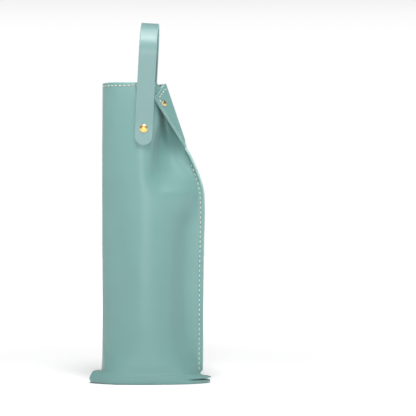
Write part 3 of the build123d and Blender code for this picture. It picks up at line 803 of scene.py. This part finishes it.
def ply_mesh(name, start, materials):
    """One ply, from start mm in from the strap's outside face, with its edges rounded."""
    line, out, half_wide = strap_path()
    thick = PLY - 0.03
    flat = np.linspace(-1, 1, 9)
    edge = [(0.0, 0.50), (0.08, 0.25), (0.28, 0.07), (0.65, 0.0)]
    rings = []
    for (y, z), (out_y, out_z), wide in zip(line, out, half_wide):
        near_side = [(-wide + min(i, wide), d) for i, d in edge]
        near_side += [(w * (wide - min(0.9, wide)), 0.0) for w in flat]
        near_side += [(wide - min(i, wide), d) for i, d in edge[::-1]]
        far_side = [(w, 1 - d) for w, d in near_side[::-1]][1:-1]
        ring = []
        for w, d in near_side + far_side:
            depth = start + d * thick
            here_y, here_z = y - out_y * depth, z - out_z * depth
            ring.append([RIVET[0] + w * math.cos(LEAN) + (here_z - RIVET[2]) * math.sin(LEAN), here_y,
                         RIVET[2] - w * math.sin(LEAN) + (here_z - RIVET[2]) * math.cos(LEAN)])
        rings.append(ring)
    loop = len(rings[0])
    faces = loop_faces(len(rings), loop)
    faces += [tuple(range(loop))[::-1], tuple(range((len(rings) - 1) * loop, len(rings) * loop))]
    wide_count = 2 * len(edge) + len(flat)
    slots = []
    for face in faces:
        column = face[0] % loop
        on_edge = column < 2 or wide_count - 3 <= column <= wide_count + 1 or column >= loop - 2
        slots.append(CUT_SLOT if on_edge or len(face) > 4 else FACE_SLOT)
    return mesh_object(name, np.array(rings).reshape(-1, 3), faces, materials, slots)


face_ply = ply_mesh("strap_face_ply", 0.0, [STRAP_LEATHER_SHADED, CUT_EDGE])
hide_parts("strap_face")
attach(face_ply, "handle")
back_ply = ply_mesh("strap_backing_ply", PLY, [STRAP_LEATHER_SHADED, CUT_EDGE])
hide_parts("strap_backing")
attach(back_ply, "handle")

# ==== The rivets =============================================================================================
# Double-cap rivets in polished brass: two of 8 mm hold the strap and let it swing, one of 5.8 mm holds the
# folded corner's layers. A domed cap is pressed on to a hollow post. Stamped, plated and set in a hand press.


def polished_brass(name, colour, edge_colour):
    """Plated brass with fine polishing marks and the slight waviness of a stamped dome."""
    made, tree, shader = material(name)
    place = add(tree, "ShaderNodeTexCoord").outputs["Object"]
    wear = add(tree, "ShaderNodeTexNoise", {"Scale": 1 / (1.5 * MM), "Detail": 4.0}, Vector=place)
    marks = add(tree, "ShaderNodeTexNoise", {"Scale": 1 / (0.3 * MM), "Detail": 2.0}, Vector=place)
    tone = add(tree, "ShaderNodeMix", {"data_type": "RGBA", 6: srgb(colour), 7: srgb(edge_colour)},
               i0=wear.outputs["Fac"])
    tree.links.new(tone.outputs[2], shader.inputs["Base Color"])
    rough = add(tree, "ShaderNodeMapRange", {"To Min": 0.28, "To Max": 0.42}, Value=marks.outputs["Fac"])
    tree.links.new(rough.outputs[0], shader.inputs["Roughness"])
    bump = add(tree, "ShaderNodeBump", {"Strength": 0.25, "Distance": 0.02 * MM}, Height=wear.outputs["Fac"])
    tree.links.new(bump.outputs["Normal"], shader.inputs["Normal"])
    shader.inputs["Metallic"].default_value = 1.0
    return made


# Eye: warm gold with a bright spot and an orange-brown shade towards the rim.
BRASS = polished_brass("brass_polished_plated", "#f0cf86", "#e2b868")
for node in ("front_rivet_cap", "front_rivet_post", "rear_rivet_cap", "rear_rivet_post", "corner_rivet_cap",
             "corner_rivet_post"):
    rivet = frame["nodes"][node]
    rivet.data.materials.clear()
    rivet.data.materials.append(BRASS)

# ==== The floor, the light and the camera ====================================================================
# A white paper sweep on a table under soft light from above and in front, as in a small studio. The softboxes
# are squares of cloth on stands, and the camera is level, 1.75 m in front of the bag, with a long lens.

bpy.ops.mesh.primitive_plane_add(size=9, location=(0, 0, 0))
table = bpy.context.object
table.name = "studio_table"
# Eye: plain white with no grain or gloss.
paper, tree, shader = material("matt_white_paper_sweep_painted_glow")
speckle = add(tree, "ShaderNodeTexNoise", {"Scale": 40.0, "Detail": 3.0})
tint = add(tree, "ShaderNodeMix", {"data_type": "RGBA", 6: srgb("#fbfbfc"), 7: srgb("#ffffff")},
           i0=speckle.outputs["Fac"])
tree.links.new(tint.outputs[2], shader.inputs["Base Color"])
shader.inputs["Roughness"].default_value = 0.9
# Further out the sweep glows, painted light that rises from faint beside the bag to full white, so it stays
# white.
place = add(tree, "ShaderNodeTexCoord").outputs["Object"]
away = add(tree, "ShaderNodeVectorMath", {"operation": "LENGTH"}, i0=place)
painted_glow = add(tree, "ShaderNodeMapRange", {"From Min": 0.2, "From Max": 1.3, "To Min": 0.1, "To Max": 1.0,
                                        "interpolation_type": "SMOOTHSTEP"}, Value=away.outputs["Value"])
tree.links.new(painted_glow.outputs[0], shader.inputs["Emission Strength"])
shader.inputs["Emission Color"].default_value = (1, 1, 1, 1)
table.data.materials.append(paper)

# The room is white at eye level and dim above and below, so that the softboxes shape the leather.
world = bpy.data.worlds.new("studio")
world.use_nodes = True
sky = world.node_tree
looking = add(sky, "ShaderNodeSeparateXYZ", Vector=add(sky, "ShaderNodeTexCoord").outputs["Generated"])
height = add(sky, "ShaderNodeMath", {"operation": "ABSOLUTE"}, i0=looking.outputs["Z"])
shade = add(sky, "ShaderNodeMapRange", {"From Min": 0.1, "From Max": 0.2, "To Min": 1.0, "To Max": 0.1,
                                        "interpolation_type": "SMOOTHSTEP"}, Value=height.outputs[0])
sky.links.new(shade.outputs[0], sky.nodes["Background"].inputs["Color"])
sky.nodes["Background"].inputs["Strength"].default_value = 1.0
bpy.context.scene.world = world


def softbox(name, place, target, size, power):
    """A square soft light that faces a point."""
    lamp = bpy.data.lights.new(name, "AREA")
    lamp.size = size
    lamp.energy = power
    made = bpy.data.objects.new(name, lamp)
    bpy.context.scene.collection.objects.link(made)
    made.location = place
    made.rotation_euler = (Vector(target) - Vector(place)).to_track_quat("-Z", "Y").to_euler()


softbox("key_softbox", (0.08, -0.82, 1.74), (0, 0, 0.18), 0.6, 26)
softbox("front_softbox", (-0.06, -2.2, 0.6), (0, 0, 0.18), 0.3, 10)
softbox("top_softbox", (0.0, -0.1, 1.6), (0, 0, 0.1), 0.6, 7)

lens = bpy.data.cameras.new("camera")
lens.lens = 147.2
lens.sensor_width = 36
lens.clip_start = 0.05
camera = bpy.data.objects.new("camera", lens)
camera.location = (0.0597, -1.75, 0.1795)
camera.rotation_euler = (math.radians(90), 0, 0)
bpy.context.scene.collection.objects.link(camera)
bpy.context.scene.camera = camera
bpy.context.scene.view_settings.view_transform = "Standard"
